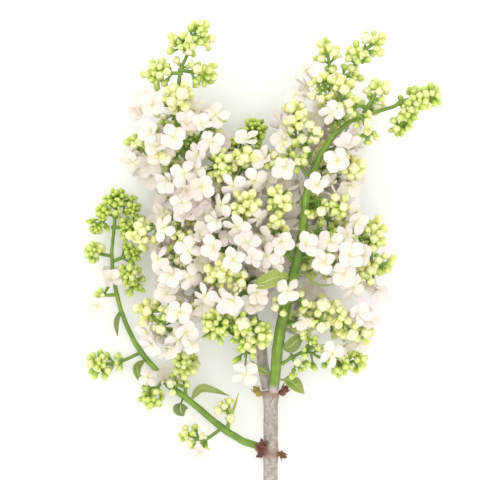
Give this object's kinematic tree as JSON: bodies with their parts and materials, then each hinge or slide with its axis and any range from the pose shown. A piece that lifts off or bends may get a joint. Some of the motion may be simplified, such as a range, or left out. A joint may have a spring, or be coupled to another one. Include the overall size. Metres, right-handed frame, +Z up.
{
  "type": "cut lilac stem",
  "caption": "Cut stem of white lilac lying on a surface: a woody stem with two panicles of buds and open florets, a side branch and a few small leaves.",
  "frame": {"origin": "on the surface under the foot of the woody stem, 10 mm in from its cut end", "axes": "+Y along the stem from its cut end to the tips, +Z up from the surface that it lies on"},
  "size_m": [0.1804, 0.2893, 0.0713],
  "materials": {
    "bark": "matte",
    "green_stems": "satin",
    "bud_scales": "matte",
    "leaves": "satin",
    "buds": "satin",
    "petals": "matte"
  },
  "bodies": {
    "root": {"woody_stem": "bark", "right_panicle_stem": "green_stems", "left_panicle_stem": "green_stems", "side_branch": "green_stems", "upper_bud_right": "bud_scales", "upper_bud_left": "bud_scales", "lower_bud_right": "bud_scales", "lower_bud_scales": "bud_scales", "upper_leaf_right": "leaves", "upper_leaf_slim": "leaves", "olive_leaf": "leaves", "broad_bract": "leaves", "curled_bract": "leaves", "pointed_leaf": "leaves", "round_leaf": "leaves", "long_leaf": "leaves", "right_spray_tip": "buds", "right_spray_upper": "buds", "right_spray_top": "buds", "right_spray_crown": "buds", "right_spray_left_top": "buds", "right_spray_middle": "petals", "right_spray_left_middle": "petals", "right_spray_right": "buds", "right_spray_outer_low": "buds", "right_spray_low": "petals", "right_spray_foot": "buds", "right_spray_stem_front": "buds", "right_spray_lowest": "buds", "right_spray_heart": "petals", "left_spray_tip": "buds", "left_spray_front": "buds", "left_spray_outer": "buds", "left_spray_white": "petals", "left_spray_right_white": "petals", "left_spray_yellow": "petals", "left_spray_behind": "buds", "left_spray_cream": "petals", "left_spray_centre": "petals", "left_spray_left": "petals", "left_spray_low_white": "petals", "left_spray_low_left": "petals", "left_spray_yellow_low": "buds", "left_spray_foot_left": "buds", "left_spray_foot": "buds", "left_spray_hidden_top": "buds", "side_spray_tip": "buds", "side_spray_left": "buds", "side_spray_right": "buds", "side_spray_low_right": "buds", "side_spray_low_left": "buds", "side_spray_outer": "buds", "side_spray_base": "buds", "side_spray_upright": "buds", "side_spray_lowest": "buds", "side_spray_bud": "buds"}
  },
  "joints": []
}
